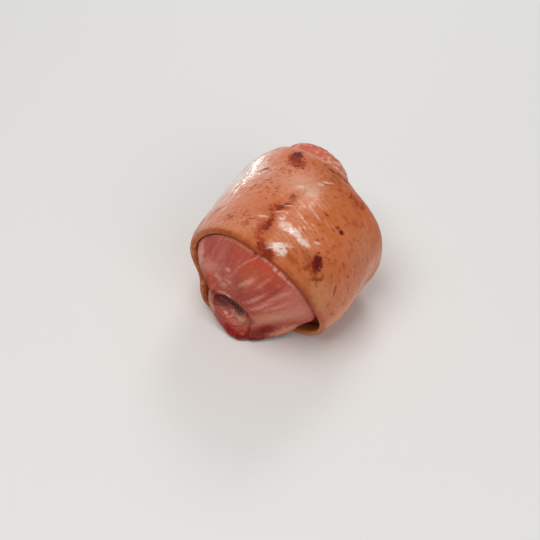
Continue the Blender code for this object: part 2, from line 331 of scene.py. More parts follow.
def meatFinish(name, look):
    # attribute colour with fine mottling, roughness from the wet attribute, and two layers of fine bump
    material = bpy.data.materials.new(name)
    material.use_nodes = True
    nodes, links = material.node_tree.nodes, material.node_tree.links
    shader = nodes["Principled BSDF"]
    place = nodes.new("ShaderNodeTexCoord")
    tone = nodes.new("ShaderNodeAttribute")
    tone.attribute_name = "tone"
    wet = nodes.new("ShaderNodeAttribute")
    wet.attribute_name = "wet"

    speckle = nodes.new("ShaderNodeTexNoise")
    speckle.inputs["Scale"].default_value = look["speckleScale"]
    speckle.inputs["Detail"].default_value = 4.0
    links.new(place.outputs["Object"], speckle.inputs["Vector"])
    strength = nodes.new("ShaderNodeMapRange")
    strength.inputs["From Min"].default_value = 0.3
    strength.inputs["From Max"].default_value = 0.7
    strength.inputs["To Min"].default_value = 1.0 - look["speckle"]
    strength.inputs["To Max"].default_value = 1.0 + look["speckle"]
    links.new(speckle.outputs["Fac"], strength.inputs["Value"])
    scaled = nodes.new("ShaderNodeVectorMath")
    scaled.operation = "SCALE"
    links.new(tone.outputs["Color"], scaled.inputs[0])
    links.new(strength.outputs["Result"], scaled.inputs["Scale"])
    links.new(scaled.outputs["Vector"], shader.inputs["Base Color"])

    rough = nodes.new("ShaderNodeMapRange")
    rough.inputs["To Min"].default_value = look["dryRoughness"]
    rough.inputs["To Max"].default_value = look["wetRoughness"]
    links.new(wet.outputs["Fac"], rough.inputs["Value"])
    links.new(rough.outputs["Result"], shader.inputs["Roughness"])
    coat = nodes.new("ShaderNodeMapRange")
    coat.inputs["To Min"].default_value = look["dryCoat"]
    coat.inputs["To Max"].default_value = look["wetCoat"]
    links.new(wet.outputs["Fac"], coat.inputs["Value"])
    links.new(coat.outputs["Result"], shader.inputs["Coat Weight"])

    fine = nodes.new("ShaderNodeTexNoise")
    fine.inputs["Scale"].default_value = look["bumpScale"]
    fine.inputs["Detail"].default_value = 5.0
    links.new(place.outputs["Object"], fine.inputs["Vector"])
    bump = nodes.new("ShaderNodeBump")
    bump.inputs["Strength"].default_value = look["bump"]
    bump.inputs["Distance"].default_value = look["bumpDepth"] / 1000
    links.new(fine.outputs["Fac"], bump.inputs["Height"])
    links.new(bump.outputs["Normal"], shader.inputs["Normal"])

    shader.inputs["Coat Roughness"].default_value = look["coatRoughness"]
    shader.inputs["Specular IOR Level"].default_value = look["specular"]
    return material


# the rind: what a user would change about it
rind = {
    "columns": 460,
    "skinRows": 178,
    "lipRows": 13,
    "wallRows": 8,
    "roughness": (0.10, 0.05),  # heights of the broad and the fine unevenness
    "stainDent": 0.12,
    "speckSeed": 7,
    # broad soft areas of tone, some of them painted highlights:
    # along, round, half length, half width, turn, tone, strength, crispness, edge roughness
    "areas": [
        (40, 142, 60, 28, 0, "pink", 0.75, 2.2, 0.3),
        (60, 112, 34, 20, 0, "salmonPale", 0.4, 2.2, 0.3),
        (10, 118, 26, 18, 0, "salmonPale", 0.3, 2.2, 0.3),
        # painted soft highlights: the two cream areas on the top
        (55, 89, 12, 11, 20, "creamAndHighlight", 0.25, 2.6, 0.5),
        (44, 76, 12, 10, 20, "creamAndHighlight", 0.3, 2.6, 0.5),
        (80, 58, 20, 18, 0, "amber", 0.6, 2.5, 0.5),
        (72, 34, 24, 18, 0, "amber", 0.5, 2.2, 0.5),
        (48, 50, 14, 12, 0, "orange", 0.5, 2.2, 0.4),
        (-18, 58, 9, 12, 0, "tan", 0.5, 3.0, 0.5),
        (60, 20, 30, 24, 0, "orange", 0.5, 2.2, 0.4),
        (25, 35, 34, 26, 0, "orange", 0.35, 2.2, 0.4),
        (-16, 44, 12, 20, 0, "amber", 0.8, 3.0, 0.5),
        (-24, 62, 6, 12, 0, "amber", 0.85, 3.0, 0.5),
        (4, 6, 24, 20, 0, "orange", 0.6, 2.4, 0.4),
        (-19, 20, 8, 14, 0, "tan", 0.85, 3.0, 0.4),
        (-17, 104, 11, 18, 0, "tan", 0.6, 2.5, 0.5),
        (-24, 105, 5, 26, 0, "orange", 0.35, 2.5, 0.4),
        (-16, 88, 10, 5, 0, "amber", 0.6, 3.0, 0.5),
        (13, 89, 10, 6, -20, "amber", 0.6, 3.0, 0.6),
        (-4, 186, 22, 26, 0, "amber", 0.6, 2.4, 0.5),
        (20, 350, 40, 20, 0, "pink", 0.35, 2.2, 0.3),
        (30, 20, 16, 10, 0, "salmonPale", 0.35, 2.2, 0.4),
        (-3, 62, 15, 12, 45, "salmonPale", 0.45, 2.5, 0.4),
        (94, 75, 6, 28, 0, "pink", 0.9, 3.0, 0.4),
        (95, 62, 4, 22, 0, "creamAndHighlight", 0.5, 3.0, 0.6),
        # painted rim highlight: a pale cream and pink band along the lower right flank
        (26, -10.5, 44, 5.5, 19, "creamAndHighlight", 0.6, 2.0, 0.5),
        (26, 5, 34, 9, 20, "pink", 0.4, 2.0, 0.6),
    ],
    # stains and roasted spots, in the same order
    "stains": [
        (76.0, 96.5, 7.0, 8.0, 0, "rust", 0.9, 6.0, 0.8),
        (82.0, 95.6, 8.0, 7.2, 10, "redBrown", 1.0, 8.0, 0.8),
        (86.6, 93.5, 3.6, 4.6, 0, "burnt", 0.75, 8.0, 0.8),
        (71.5, 97.0, 1.1, 4.6, 0, "redBrown", 0.9, 5.0, 0.7),
        (-15.0, 35.0, 5.0, 5.0, 0, "brown", 0.5, 3.5, 0.9),
        (-13.0, 45.0, 3.5, 5.0, 0, "brown", 0.5, 3.5, 0.9),
        (-9.5, 38.6, 6.2, 4.2, 20, "redBrown", 1.0, 8.0, 0.6),
        (-9.0, 38.2, 5.4, 3.5, 20, "burnt", 1.0, 12.0, 0.5),
        (-17.5, 31.0, 1.6, 5.0, -20, "redBrown", 0.5, 4.0, 1.0),
        (24.8, 42.8, 1.5, 1.6, 0, "redBrown", 0.95, 6.0, 0.6),
        (23.8, 38.8, 2.1, 1.7, 30, "burnt", 1.0, 6.0, 0.6),
        (28.7, 53.5, 1.2, 1.2, 0, "redBrown", 0.9, 6.0, 0.6),
        (-5.7, 10.5, 3.4, 0.9, 66, "redBrown", 0.95, 4.0, 0.5),
        (6.8, 22.8, 2.8, 0.6, 75, "redBrown", 0.7, 4.0, 0.5),
        (8.0, 13.1, 1.2, 1.0, 0, "redBrown", 0.8, 5.0, 0.6),
        (-13.0, 26.9, 1.8, 1.1, 0, "brown", 0.9, 4.0, 0.8),
        (-18.5, 31.0, 7.0, 0.9, -37, "brown", 0.85, 4.0, 1.2),
        (-12.1, 2.4, 1.6, 1.0, 0, "brown", 0.7, 4.0, 0.8),
        (-7.4, -10.0, 1.4, 1.0, 0, "redBrown", 0.7, 4.0, 0.8),
        (-18.5, 42.0, 4.2, 2.0, -30, "brown", 0.8, 3.5, 1.0),
        (82.6, 57.5, 3.0, 1.6, 85, "redBrown", 0.95, 5.0, 1.0),
        (82.2, 51.5, 3.6, 1.7, 85, "redBrown", 1.0, 5.0, 1.0),
        (82.2, 45.5, 3.2, 1.6, 85, "redBrown", 0.95, 5.0, 1.0),
        (63.5, 46.0, 3.8, 1.0, 0, "redBrown", 0.8, 4.0, 0.8),
        (62.0, 41.0, 2.6, 1.4, 30, "redBrown", 0.8, 4.0, 0.8),
        (85.5, 65.5, 1.1, 1.0, 0, "redBrown", 0.8, 4.0, 0.8),
        (81.0, 77.9, 1.2, 1.0, 0, "redBrown", 0.7, 4.0, 0.8),
        (86.9, 70.7, 1.1, 0.9, 0, "redBrown", 0.7, 4.0, 0.8),
        (-27.0, 76.0, 10.0, 5.0, 63, "rust", 0.7, 3.0, 0.8),
        (-27.0, 75.0, 8.6, 3.4, 63, "redBrown", 1.0, 7.0, 0.6),
        (-30.6, 69.0, 4.0, 2.6, 30, "redBrown", 1.0, 6.0, 0.8),
        (-25.4, 79.8, 3.4, 2.2, 40, "redBrown", 1.0, 6.0, 1.0),
        (-20.0, 82.5, 5.5, 2.0, 44, "redBrown", 0.9, 4.0, 1.0),
        (-5.0, 87.5, 11.0, 5.6, 8, "rust", 0.7, 3.0, 0.8),
        (-3.0, 86.4, 8.4, 2.8, 5, "redBrown", 1.0, 6.0, 1.1),
        (-14.0, 87.0, 5.4, 2.4, 30, "rust", 0.9, 4.0, 1.1),
        (9.0, 89.5, 4.6, 1.6, 20, "brown", 0.8, 4.0, 1.0),
        (19.0, 87.6, 9.0, 5.0, -40, "rust", 0.75, 3.0, 0.9),
        (19.6, 87.2, 7.0, 2.5, -50, "redBrown", 1.0, 6.0, 1.1),
        (33.5, 84.6, 2.8, 1.7, 0, "redBrown", 0.75, 4.0, 1.0),
        (31.0, 82.0, 4.0, 3.0, 0, "brown", 0.4, 4.0, 1.0),
        (-22.4, 57.5, 2.4, 8.0, -10, "brown", 0.6, 4.0, 1.0),
        (82.0, 147, 3.4, 2.0, -20, "burnt", 0.8, 6.0, 0.8),
        (88.7, 133, 3.2, 1.6, -20, "redBrown", 0.8, 6.0, 0.8),
        (93.0, 121, 2.0, 1.4, 0, "redBrown", 0.8, 5.0, 0.8),
        (61.7, 123.5, 3.4, 1.4, -50, "redBrown", 0.9, 6.0, 0.8),
        (11.8, 136.5, 4.0, 1.3, -45, "redBrown", 0.85, 6.0, 0.8),
        (40.0, 138, 3.0, 1.2, -40, "redBrown", 0.5, 5.0, 0.8),
        (-9.5, 101.0, 3.2, 3.2, 0, "brown", 0.45, 4.0, 1.2),
        (0.5, 121.5, 2.0, 1.2, -30, "redBrown", 0.8, 5.0, 0.8),
        (-3.5, 118.5, 1.6, 1.2, -30, "redBrown", 0.5, 5.0, 0.8),
        (88.0, 36.0, 3.6, 3.2, 0, "redBrown", 0.95, 5.0, 0.9),
        (80.0, 44.0, 6.0, 1.6, 20, "redBrown", 0.5, 4.0, 1.0),
        (62.0, 36.0, 5.0, 1.6, 0, "redBrown", 0.6, 4.0, 1.0),
        (62.0, 42.0, 6.0, 2.4, 10, "brown", 0.6, 3.5, 1.2),
        (78.0, 60.0, 8.0, 4.0, 10, "brown", 0.3, 3.0, 1.2),
        (41.0, 34.0, 2.6, 2.2, 0, "brown", 0.45, 3.5, 1.0),
        (-2.0, 191, 5.0, 3.2, 10, "redBrown", 0.7, 4.0, 1.0),
        (14.0, 196, 6.0, 3.0, 0, "brown", 0.6, 4.0, 1.0),
        (52.0, 215, 5.0, 4.0, 0, "brown", 0.6, 4.0, 1.0),
        (30.0, 250, 6.0, 5.0, 0, "brown", 0.5, 3.0, 1.0),
        (60.0, 340, 4.0, 3.0, 0, "redBrown", 0.7, 5.0, 1.0),
    ],
    # zones of small dark specks: along, round, spread along, spread round, how many, tone, strength
    "speckZones": [
        (62, 112, 22, 16, 48, "speckRed", 0.8),
        (38, 108, 14, 12, 26, "speckRed", 0.8),
        (-2, 110, 12, 14, 40, "speckRed", 0.85),
        (72, 58, 20, 18, 90, "speckRed", 0.85),
        (10, 36, 28, 24, 80, "speckRed", 0.7),
        (-14, 40, 8, 14, 40, "speckRed", 0.6),
        (40, 200, 40, 50, 110, "speckRed", 0.5),
        (40, 330, 40, 50, 80, "speckRed", 0.5),
    ],
    # small smooth wet patches, each with a painted highlight: along, round, half length, half width, turn,
    # strength
    "wetPaintedHighlights": [
        (-22.8, 69.6, 5.4, 2.3, 58, 1.0),
        (-19.6, 67.4, 6.4, 2.4, -55, 1.0),
        (-22.8, 63.6, 4.2, 2.3, 10, 1.0),
        (-2.2, 64.0, 5.6, 3.2, 80, 0.9),
        (-4.8, 56.0, 4.8, 2.5, 80, 1.0),
        (1.0, 74.0, 5.6, 4.4, 60, 0.4),
        (13.7, 85.2, 3.8, 0.8, -75, 0.8),
        (22.0, 82.6, 2.2, 0.7, -80, 1.0),
        (4.5, 94.5, 2.4, 0.9, -60, 0.7),
        (6.6, 80.0, 2.2, 0.8, -70, 0.7),
        (44.8, 83.8, 2.6, 1.1, -70, 0.7),
        (44.0, 73.0, 5.6, 5.4, 0, 0.25),
        (56.1, 72.4, 3.0, 1.6, -60, 0.5),
        (62.6, 67.6, 3.2, 0.9, -60, 0.8),
        (1.8, 47.2, 1.8, 0.9, -60, 0.7),
    ],
    # the wet left flank and the painted sheen of pale streaks on it: along, round, half length, half width,
    # turn
    "wetFlank": (58.0, 148.0, 42.0, 13.0, -8),
    "paintedFlankSheen": (60.0, 141.0, 38.0, 14.5, -8),
    # zones of wrinkles:
    # along, round, reach along, reach round, direction across them, spacing, height, strength of the
    # painted highlight on the crests
    "wrinkles": [
        (13, 67, 20, 17, 0.83, -0.55, 3.5, 0.28, 0.62),
        (2, 0, 26, 18, 0.91, -0.41, 2.3, 0.14, 0.25),
        (50, 30, 22, 14, 0.80, -0.60, 2.6, 0.10, 0.15),
        (55, 124, 28, 15, 0.80, 0.60, 2.6, 0.16, 0.35),
    ],
    "look": {"speckleScale": 900.0, "speckle": 0.08, "dryRoughness": 0.55, "wetRoughness": 0.14,
             "bumpScale": 600.0, "bump": 0.3, "bumpDepth": 0.25, "dryCoat": 0.03, "wetCoat": 1.0,
             "coatRoughness": 0.12, "specular": 0.15},
}


def ellipseShare(u, w, halfLength, halfWidth, turn, crisp, rough):
    # share of a turned ellipse: 1 inside and falling at its edge by the logistic curve;
    # the noise roughens the edge
    c, s = np.cos(np.radians(turn)), np.sin(np.radians(turn))
    reach = np.hypot((u * c + w * s) / halfLength, (w * c - u * s) / halfWidth)
    return 1 / (1 + np.exp(np.clip((reach + rough - 1) * crisp, -30, 30)))


def rindSpot(along, phi, place, degrees, halfLength, halfWidth, turn, crisp, rough):
    # the share of a turned ellipse that is laid on the unrolled rind about a place
    u, w = unrolled(along, phi, place, degrees)
    return ellipseShare(u, w, halfLength, halfWidth, turn, crisp, rough)


def rindGrid(along, phi, depth):
    # the skin with its wrinkles where it is outermost, and its tones, each laid over the ones before
    outer = ramp(1 - depth / 2.5)
    smooth = skin(along, phi, 0 * depth)
    broad, fine = mottle(smooth, 26.0, 11), mottle(smooth, 6.0, 21)
    edge, grain = mottle(smooth, 3.2, 31), waves(smooth, 1.9, 41)

    # wrinkles: rounded ridges on a slant, gathered in zones and broken by the noise; their crests carry
    # broken dashes of painted highlight
    relief = rind["roughness"][0] * fine + rind["roughness"][1] * edge
    crestHighlights = 0.0
    for wrinkleZone in rind["wrinkles"]:
        place, degrees, reachAlong, reachRound, acrossU, acrossW, spacing, height, crestHighlightStrength = wrinkleZone
        u, w = unrolled(along, phi, place, degrees)
        zone = np.exp(-((u / reachAlong) ** 2 + (w / reachRound) ** 2)) * ramp(0.75 + 0.6 * fine)
        phase = (acrossU * u + acrossW * w) / spacing + 0.18 * fine
        crest = np.abs(np.sin(np.pi * phase))
        relief = relief + height * zone * (np.sqrt(crest) - 0.7)
        broken = waves(np.stack([phase * 1.2, (acrossW * u - acrossU * w) / 4.2, 0 * u], -1), 2.2, 47)
        crestHighlights = crestHighlights + crestHighlightStrength * zone * ramp((crest - 0.66) / 0.24) * ramp(0.25 + 1.5 * broken)

    tone = np.broadcast_to(linear("salmon"), smooth.shape).copy()
    tone = lay(tone, "salmonPale", 0.2 + 0.45 * broad)
    tone = lay(tone, "orange", 0.25 - 0.5 * broad)
    for *ellipse, name, strength, crisp, rough in rind["areas"]:
        amount = rindSpot(along, phi, *ellipse, crisp, rough * 0.5 * broad)
        tone = lay(tone, name, strength * amount)
    tone = lay(tone, "brown", 0.18 * ramp(fine) + 0.08 * ramp(edge))
    # painted highlight: pale dashes on the wrinkle crests
    tone = lay(tone, "creamAndHighlight", crestHighlights)
    wet = 0.06 + 0.08 * broad + 0.4 * crestHighlights

    # the cut edges: brown, amber and golden where roasted in front, pale fat behind; the tan on the inner
    # wall at the lower right is painted light in the shaded pocket behind the flap
    cut = ramp(depth / 1.6)
    rearward = ramp((along - 60.0) / 10.0)
    frontCut = cut * (1 - rearward)
    tone = lay(tone, "brown", 0.9 * frontCut)
    tone = lay(tone, "amber", 0.85 * frontCut * hump(phi, 188.0, 50.0) * ramp(0.75 + 0.6 * fine))
    tone = lay(tone, "honey", 0.8 * frontCut * hump(phi, 182.0, 46.0) * ramp(0.7 + 0.7 * edge))
    streaks = waves(np.stack([depth * 1.4, 0.2 * smooth[..., 2], 0.2 * smooth[..., 1]], -1), 2.6, 45)
    tone = lay(tone, "redBrown", 0.8 * frontCut * ramp(0.3 + streaks) * hump(phi, 190.0, 50.0))
    # painted light: tan lightens the shaded pocket behind the lower right flap
    tone = lay(tone, "tan", 0.9 * frontCut * hump(phi, 322.0, 34.0))
    tone = lay(tone, "creamAndHighlight", 0.8 * cut * rearward)

    # a browned band close behind the front edge, then the stains and specks, which keep the skin dull
    close = ramp(1 - (along - frontEdge(phi) - 1.2) / 3.4)
    browning = 0.5 - 0.4 * hump(phi, 170.0, 34.0) + 0.35 * hump(phi, 108.0, 30.0)
    tone = lay(tone, "brown", browning * close * outer * ramp(0.75 + 0.4 * fine))
    stained = np.zeros(broad.shape)
    for *ellipse, name, strength, crisp, rough in rind["stains"]:
        amount = rindSpot(along, phi, *ellipse, 1.5 * crisp, rough * (0.40 * edge + 0.18 * grain))
        tone = lay(tone, name, strength * amount)
        stained = np.maximum(stained, strength * amount)
        relief = relief - rind["stainDent"] * amount
    rng = np.random.default_rng(rind["speckSeed"])
    for place, degrees, spreadAlong, spreadRound, count, name, strength in rind["speckZones"]:
        for _ in range(count):
            u, w = unrolled(along, phi, place + spreadAlong * rng.normal() * 0.6,
                            degrees + spreadRound * rng.normal() * 0.6)
            long, wide, turn = 0.6 + rng.exponential(0.4), rng.uniform(0.55, 1.0), rng.normal(60, 40)
            amount = np.zeros(u.shape)
            near = (u**2 + w**2) < 16.0
            amount[near] = ellipseShare(u[near], w[near], long, wide, turn, 4.0, 0.0)
            amount = strength * rng.uniform(0.3, 1.0) * amount
            tone = lay(tone, name, amount)
            stained = np.maximum(stained, amount)

    # wet patches are smoother than the skin round them, and carry a painted highlight
    for *ellipse, strength in rind["wetPaintedHighlights"]:
        amount = strength * rindSpot(along, phi, *ellipse, 6.0, 0.4 * edge)
        wet = np.maximum(wet, amount)
        tone = lay(tone, "paintedHighlight", 0.68 * amount)
        relief = relief * (1 - 0.6 * amount)
    wet = np.maximum(wet, rindSpot(along, phi, *rind["wetFlank"], 6.0, 0.4 * edge))

    # painted sheen: pale streaks of reflected light that run along the upper left flank
    u, w = unrolled(along, phi, *rind["paintedFlankSheen"][:2])
    streaks = waves(np.stack([u / 7.0, w + 0.12 * u, 0 * u], -1), 3.0, 49)
    paintedHighlight = ellipseShare(u, w, *rind["paintedFlankSheen"][2:], 3.0, 0.35 * broad)
    tone = lay(tone, "paintedHighlight", paintedHighlight * (0.42 + 0.45 * ramp(0.4 + 0.9 * streaks)) * (1 - stained))
    wet = wet * (1 - 0.9 * stained)

    return skin(along, phi, depth - relief * outer), tone, wet[..., None]


def buildRind():
    # a shell as one closed grid: front lip, outer skin, rear lip and the inner wall back to the front
    phi = np.linspace(0, 2 * np.pi, rind["columns"], endpoint=False)[None, :]
    front, rear = frontEdge(phi), rearEdge(phi)
    thick, lip = rindDepth(phi), form["lipLength"]
    turn = np.linspace(0, np.pi, rind["lipRows"])[:, None]
    share = np.linspace(0, 1, rind["skinRows"])[1:-1, None]
    back = np.linspace(0, 1, rind["wallRows"])[1:-1, None]
    along = np.concatenate([
        front + lip * (1 - np.sin(turn)),
        front + lip + (rear - front - 2 * lip) * share,
        rear - lip * (1 - np.sin(turn)),
        rear - lip + (front - rear + 2 * lip) * back,
    ])
    depth = np.concatenate([
        thick * (1 + np.cos(turn)) / 2,
        0 * share * thick,
        form["rindThickness"] * (1 - np.cos(turn)) / 2 + 0 * phi,
        form["rindThickness"] + (thick - form["rindThickness"]) * back,
    ])
    points, tone, wet = rindGrid(along, phi, depth)
    mesh = makeMesh("rind", points, True, {"tone": tone, "wet": wet})
    placePiece("rind", mesh, meatFinish("roastRind", rind["look"]), "hock")
    print("rind built:", points.shape[0] * points.shape[1], "points")


# the meat: the cut face, its sides and the narrow end
meat = {
    "columns": 440,
    "faceRows": 120,
    "shankRows": 34,
    "rimTurn": 3.5,  # how far the rim of the face turns back under the rind
    "crown": 5.5,
    "sideEnd": 7.0,  # the side under the rind ends this far behind the rind's front edge
    "insideStart": 9.0,
    "insideShorter": 15.0,
    "shankSide": 5.5,
    # the fibres of the face fan out from far away: x and z of the fan's middle,
    # for the right and the left muscle
    "fans": ((-189.0, -139.0), (-62.0, -28.0)),
    "fibreWidth": 1.5,
    "fibreLength": 16.0,
    "fibreDepth": 8.0,
    # the seam between the two muscles of the face: height, then where it lies across
    "seam": ((0.0, 10.0), (12.0, 6.0), (28.0, 1.0), (38.8, -4.0), (50.0, -6.6), (57.2, -8.7), (64.6, -7.2),
             (73.8, -1.4), (80.1, 4.0), (84.2, 9.5), (95.0, 20.0)),
    "seamDepth": 0.9,
    "seamHalfWidth": 2.4,
    # the fold that runs down beside the bone's hollow
    "fold": ((-9.0, 30.5), (-3.0, 24.7), (-1.0, 19.1), (0.7, 16.0), (-1.3, 11.5), (-0.8, 5.5), (-1.5, 0.0)),
    "foldDepth": 1.2,
    "foldHalfWidth": 1.8,
    # the pale edge over the bone's hollow
    "paleEdge": ((-23.0, 36.4), (-20.1, 37.4), (-14.6, 35.4), (-10.1, 31.0), (-7.5, 29.0)),
    # patches of the face: x, z, half width, half height, turn, tone, strength, crispness, edge roughness
    "patches": [
        (14, 60, 25, 24, 40, "meatBrick", 0.95, 3.0, 0.3),
        (4, 68, 9, 9, 40, "meatOrange", 0.8, 2.4, 0.4),
        (16, 74, 10, 5, 30, "meatOrange", 0.4, 2.4, 0.4),
        (-3, 49, 6, 13, -6, "meatDeep", 0.75, 2.6, 0.4),
        (10, 54, 9, 3, 46, "meatDeep", 0.35, 2.4, 0.5),
        (20, 60, 10, 3, 46, "meatDeep", 0.35, 2.4, 0.5),
        (38, 53, 8, 18, 10, "meatPale", 0.7, 3.0, 0.5),
        (19, 29.5, 21, 5.0, 39, "beige", 0.85, 3.0, 0.5),
        (34, 40, 9, 8, 30, "meatPale", 0.6, 3.0, 0.6),
        # partly painted sheen: these two pale film patches at the upper left edge stand for a wet sheen as
        # well as a film
        (-39.5, 58, 2.4, 10, -6, "film", 0.75, 4.0, 0.6),
        (-30, 54.6, 8.5, 4.0, 22, "film", 0.6, 3.0, 1.0),
        (-17, 48, 10, 9.0, 30, "meatPink", 0.8, 3.0, 0.6),
        (-12.9, 63.6, 2.4, 1.3, 30, "film", 0.75, 3.5, 0.8),
        (-12.7, 53.0, 2.0, 1.6, 0, "film", 0.7, 3.5, 0.9),
        (-22.3, 50.6, 3.0, 2.0, 0, "film", 0.6, 3.5, 1.0),
        (-18.4, 45.5, 3.4, 1.8, 40, "film", 0.55, 3.5, 1.0),
        (-11.6, 58.9, 3.0, 1.4, 40, "meatPale", 0.55, 3.5, 1.0),
        (4, 63, 7.6, 1.5, 46, "film", 0.8, 3.4, 0.8),
        (13.8, 64.8, 1.8, 1.4, 40, "meatPale", 0.85, 3.5, 0.8),
        (27.8, 70.9, 1.6, 1.1, 40, "meatPale", 0.8, 3.5, 0.8),
        (9, 49.5, 13, 1.3, 49, "film", 0.65, 3.4, 0.9),
        (13, 43.6, 15, 1.4, 47, "film", 0.6, 3.4, 0.9),
        (24, 58, 9, 1.1, 46, "film", 0.55, 3.4, 0.9),
        (31, 63, 6, 1.1, 44, "film", 0.55, 3.4, 0.9),
        (24, 47, 13, 1.6, 44, "film", 0.55, 3.4, 0.9),
        (8, 37, 10, 1.3, 44, "film", 0.5, 3.4, 0.9),
        (17, 69, 7, 1.0, 50, "film", 0.45, 3.4, 0.9),
        (26, 66, 6, 0.9, 48, "blood", 0.35, 3.4, 0.9),
        (23, 69, 13, 5.5, 44, "meatDeep", 0.4, 2.4, 0.6),
        (29, 58, 5, 4.0, 44, "mauve", 0.5, 2.4, 0.8),
        (-7.5, 30.5, 2.6, 0.9, -46, "film", 0.8, 4.0, 0.9),
        (-3.0, 26.0, 2.4, 0.8, -58, "film", 0.7, 4.0, 0.9),
        (-15.5, 36.0, 3.0, 0.9, -20, "film", 0.8, 4.0, 0.9),
        (-31.5, 42, 3.6, 8.0, -10, "meatBrick", 0.95, 4.0, 0.7),
        (-33.5, 40, 2.0, 6.0, -10, "blood", 0.5, 4.0, 0.8),
        (-15, 7.0, 12.0, 4.8, -33, "bloodRed", 0.97, 4.0, 0.5),
        (-6, 1.5, 10, 3.8, 0, "bloodRed", 0.95, 4.0, 0.6),
        (9.4, 10.0, 11, 5.0, 14, "blood", 0.92, 4.0, 0.6),
        (6, 2, 14, 4, 5, "blood", 0.85, 4.0, 0.7),
        (20.5, 8.0, 6.5, 3.0, 16, "fat", 0.8, 4.0, 0.8),
        (26, 13, 8, 3.2, 24, "beige", 0.75, 4.0, 0.8),
        (-2.8, 1.2, 2.2, 1.5, 0, "meatPale", 0.7, 4.0, 0.6),
        (-26.6, 32.6, 4.8, 3.4, 10, "blood", 0.95, 4.0, 0.7),
        (-26.6, 32.8, 2.6, 1.6, 20, "marrow", 0.8, 5.0, 0.7),
        (-29.8, 21.5, 4.2, 6.0, 10, "fat", 0.8, 4.0, 0.7),
        (-30.6, 24.7, 1.0, 0.9, 0, "marrow", 0.95, 6.0, 0.5),
        (-22, 12, 4.0, 3.0, -40, "meatPink", 0.7, 3.5, 0.8),
    ],
    "look": {"speckleScale": 700.0, "speckle": 0.10, "dryRoughness": 0.5, "wetRoughness": 0.2,
             "bumpScale": 600.0, "bump": 0.4, "bumpDepth": 0.3, "dryCoat": 0.0, "wetCoat": 0.6,
             "coatRoughness": 0.15, "specular": 0.12},
}


def seamDistance(x, z):
    # how far right of the seam a point of the face lies, straight across
    heights, places = np.array(meat["seam"]).T
    return x - smoothCurve(z, heights, places)


def layPatches(tone, x, z, patches, noise, where):
    # lays each patch as a turned ellipse over the tones, its edge roughened by the noise
    for px, pz, halfWidth, halfHeight, turn, name, strength, crisp, rough in patches:
        amount = ellipseShare(x - px, z - pz, halfWidth, halfHeight, turn, crisp, rough * noise)
        tone = lay(tone, name, strength * amount * where)
    return tone


def facePoints(phi, share):
    # from the bone's lip out to the rim in straight spokes, crowned by 4s(1 - s),
    # turned over at the rim and the lip; the seam and the fold are bell-shaped grooves
    rim = meatSide(frontEdge(phi) + meat["rimTurn"] - lobe(phi), phi, gapDepth(phi))
    lip = boneRing(np.zeros_like(phi), anglesFrom(form["boneFront"], rim), form["boneClearance"])
    points = lip + (rim - lip) * share[..., None]
    crown = meat["crown"] * (0.4 + 0.6 * hump(phi, 70.0, 70.0))
    reach = rim[..., 1] - meat["rimTurn"] - lip[..., 1]
    points[..., 1] = lip[..., 1] + reach * share - crown * 4 * share * (1 - share)
    points[..., 1] += (meat["rimTurn"] - 2.6 * hump(phi, 130.0, 55.0)) * (1 - np.sqrt(1 - share**8))
    inner = np.clip(1 - share / 0.05, 0, 1)
    points[..., 1] += 1.2 * (1 - np.sqrt(1 - inner**2))
    x, z = points[..., 0], points[..., 2]
    onSeam = np.exp(-((seamDistance(x, z) / meat["seamHalfWidth"]) ** 2))
    points[..., 1] += meat["seamDepth"] * onSeam * ramp((z - 30.0) / 12.0)
    onFold = np.exp(-((pathDistance(x, z, meat["fold"]) / meat["foldHalfWidth"]) ** 2))
    points[..., 1] += meat["foldDepth"] * onFold * ramp(share / 0.04)
    return points


def shankPoints(phi, share):
    # the side comes out of the rind by a sine, then turns in to the bone's lip:
    # cosine inwards, sine backwards
    def side(part):
        rise = 1.5 + 2.8 * hump(phi, 92.0, 42.0)
        depth = form["rindThickness"] + form["gap"] - rise * np.sin(part * np.pi / 2)
        return skin(rearEdge(phi) - 1 + meat["shankSide"] * part, phi, depth)

    rim = side(np.array([[1.0]]))
    lip = boneRing(np.ones_like(phi), anglesFrom(form["boneRear"], rim), form["boneClearance"])
    outward = np.stack([np.cos(phi), 0 * phi, np.sin(phi)], -1)
    turn = share * np.pi / 2
    points = lip + (rim - lip) * np.cos(turn)[..., None]
    points = points + outward * (0.8 * np.sin(2 * turn) * (1 - share))[..., None]
    backward = (lip[..., 1] - rim[..., 1]) * np.sin(turn) ** 0.8
    points[..., 1] = rim[..., 1] + backward + 2.5 * np.sin(2 * turn)
    return np.concatenate([side(np.linspace(0, 1, 13)[:-1, None]), points])


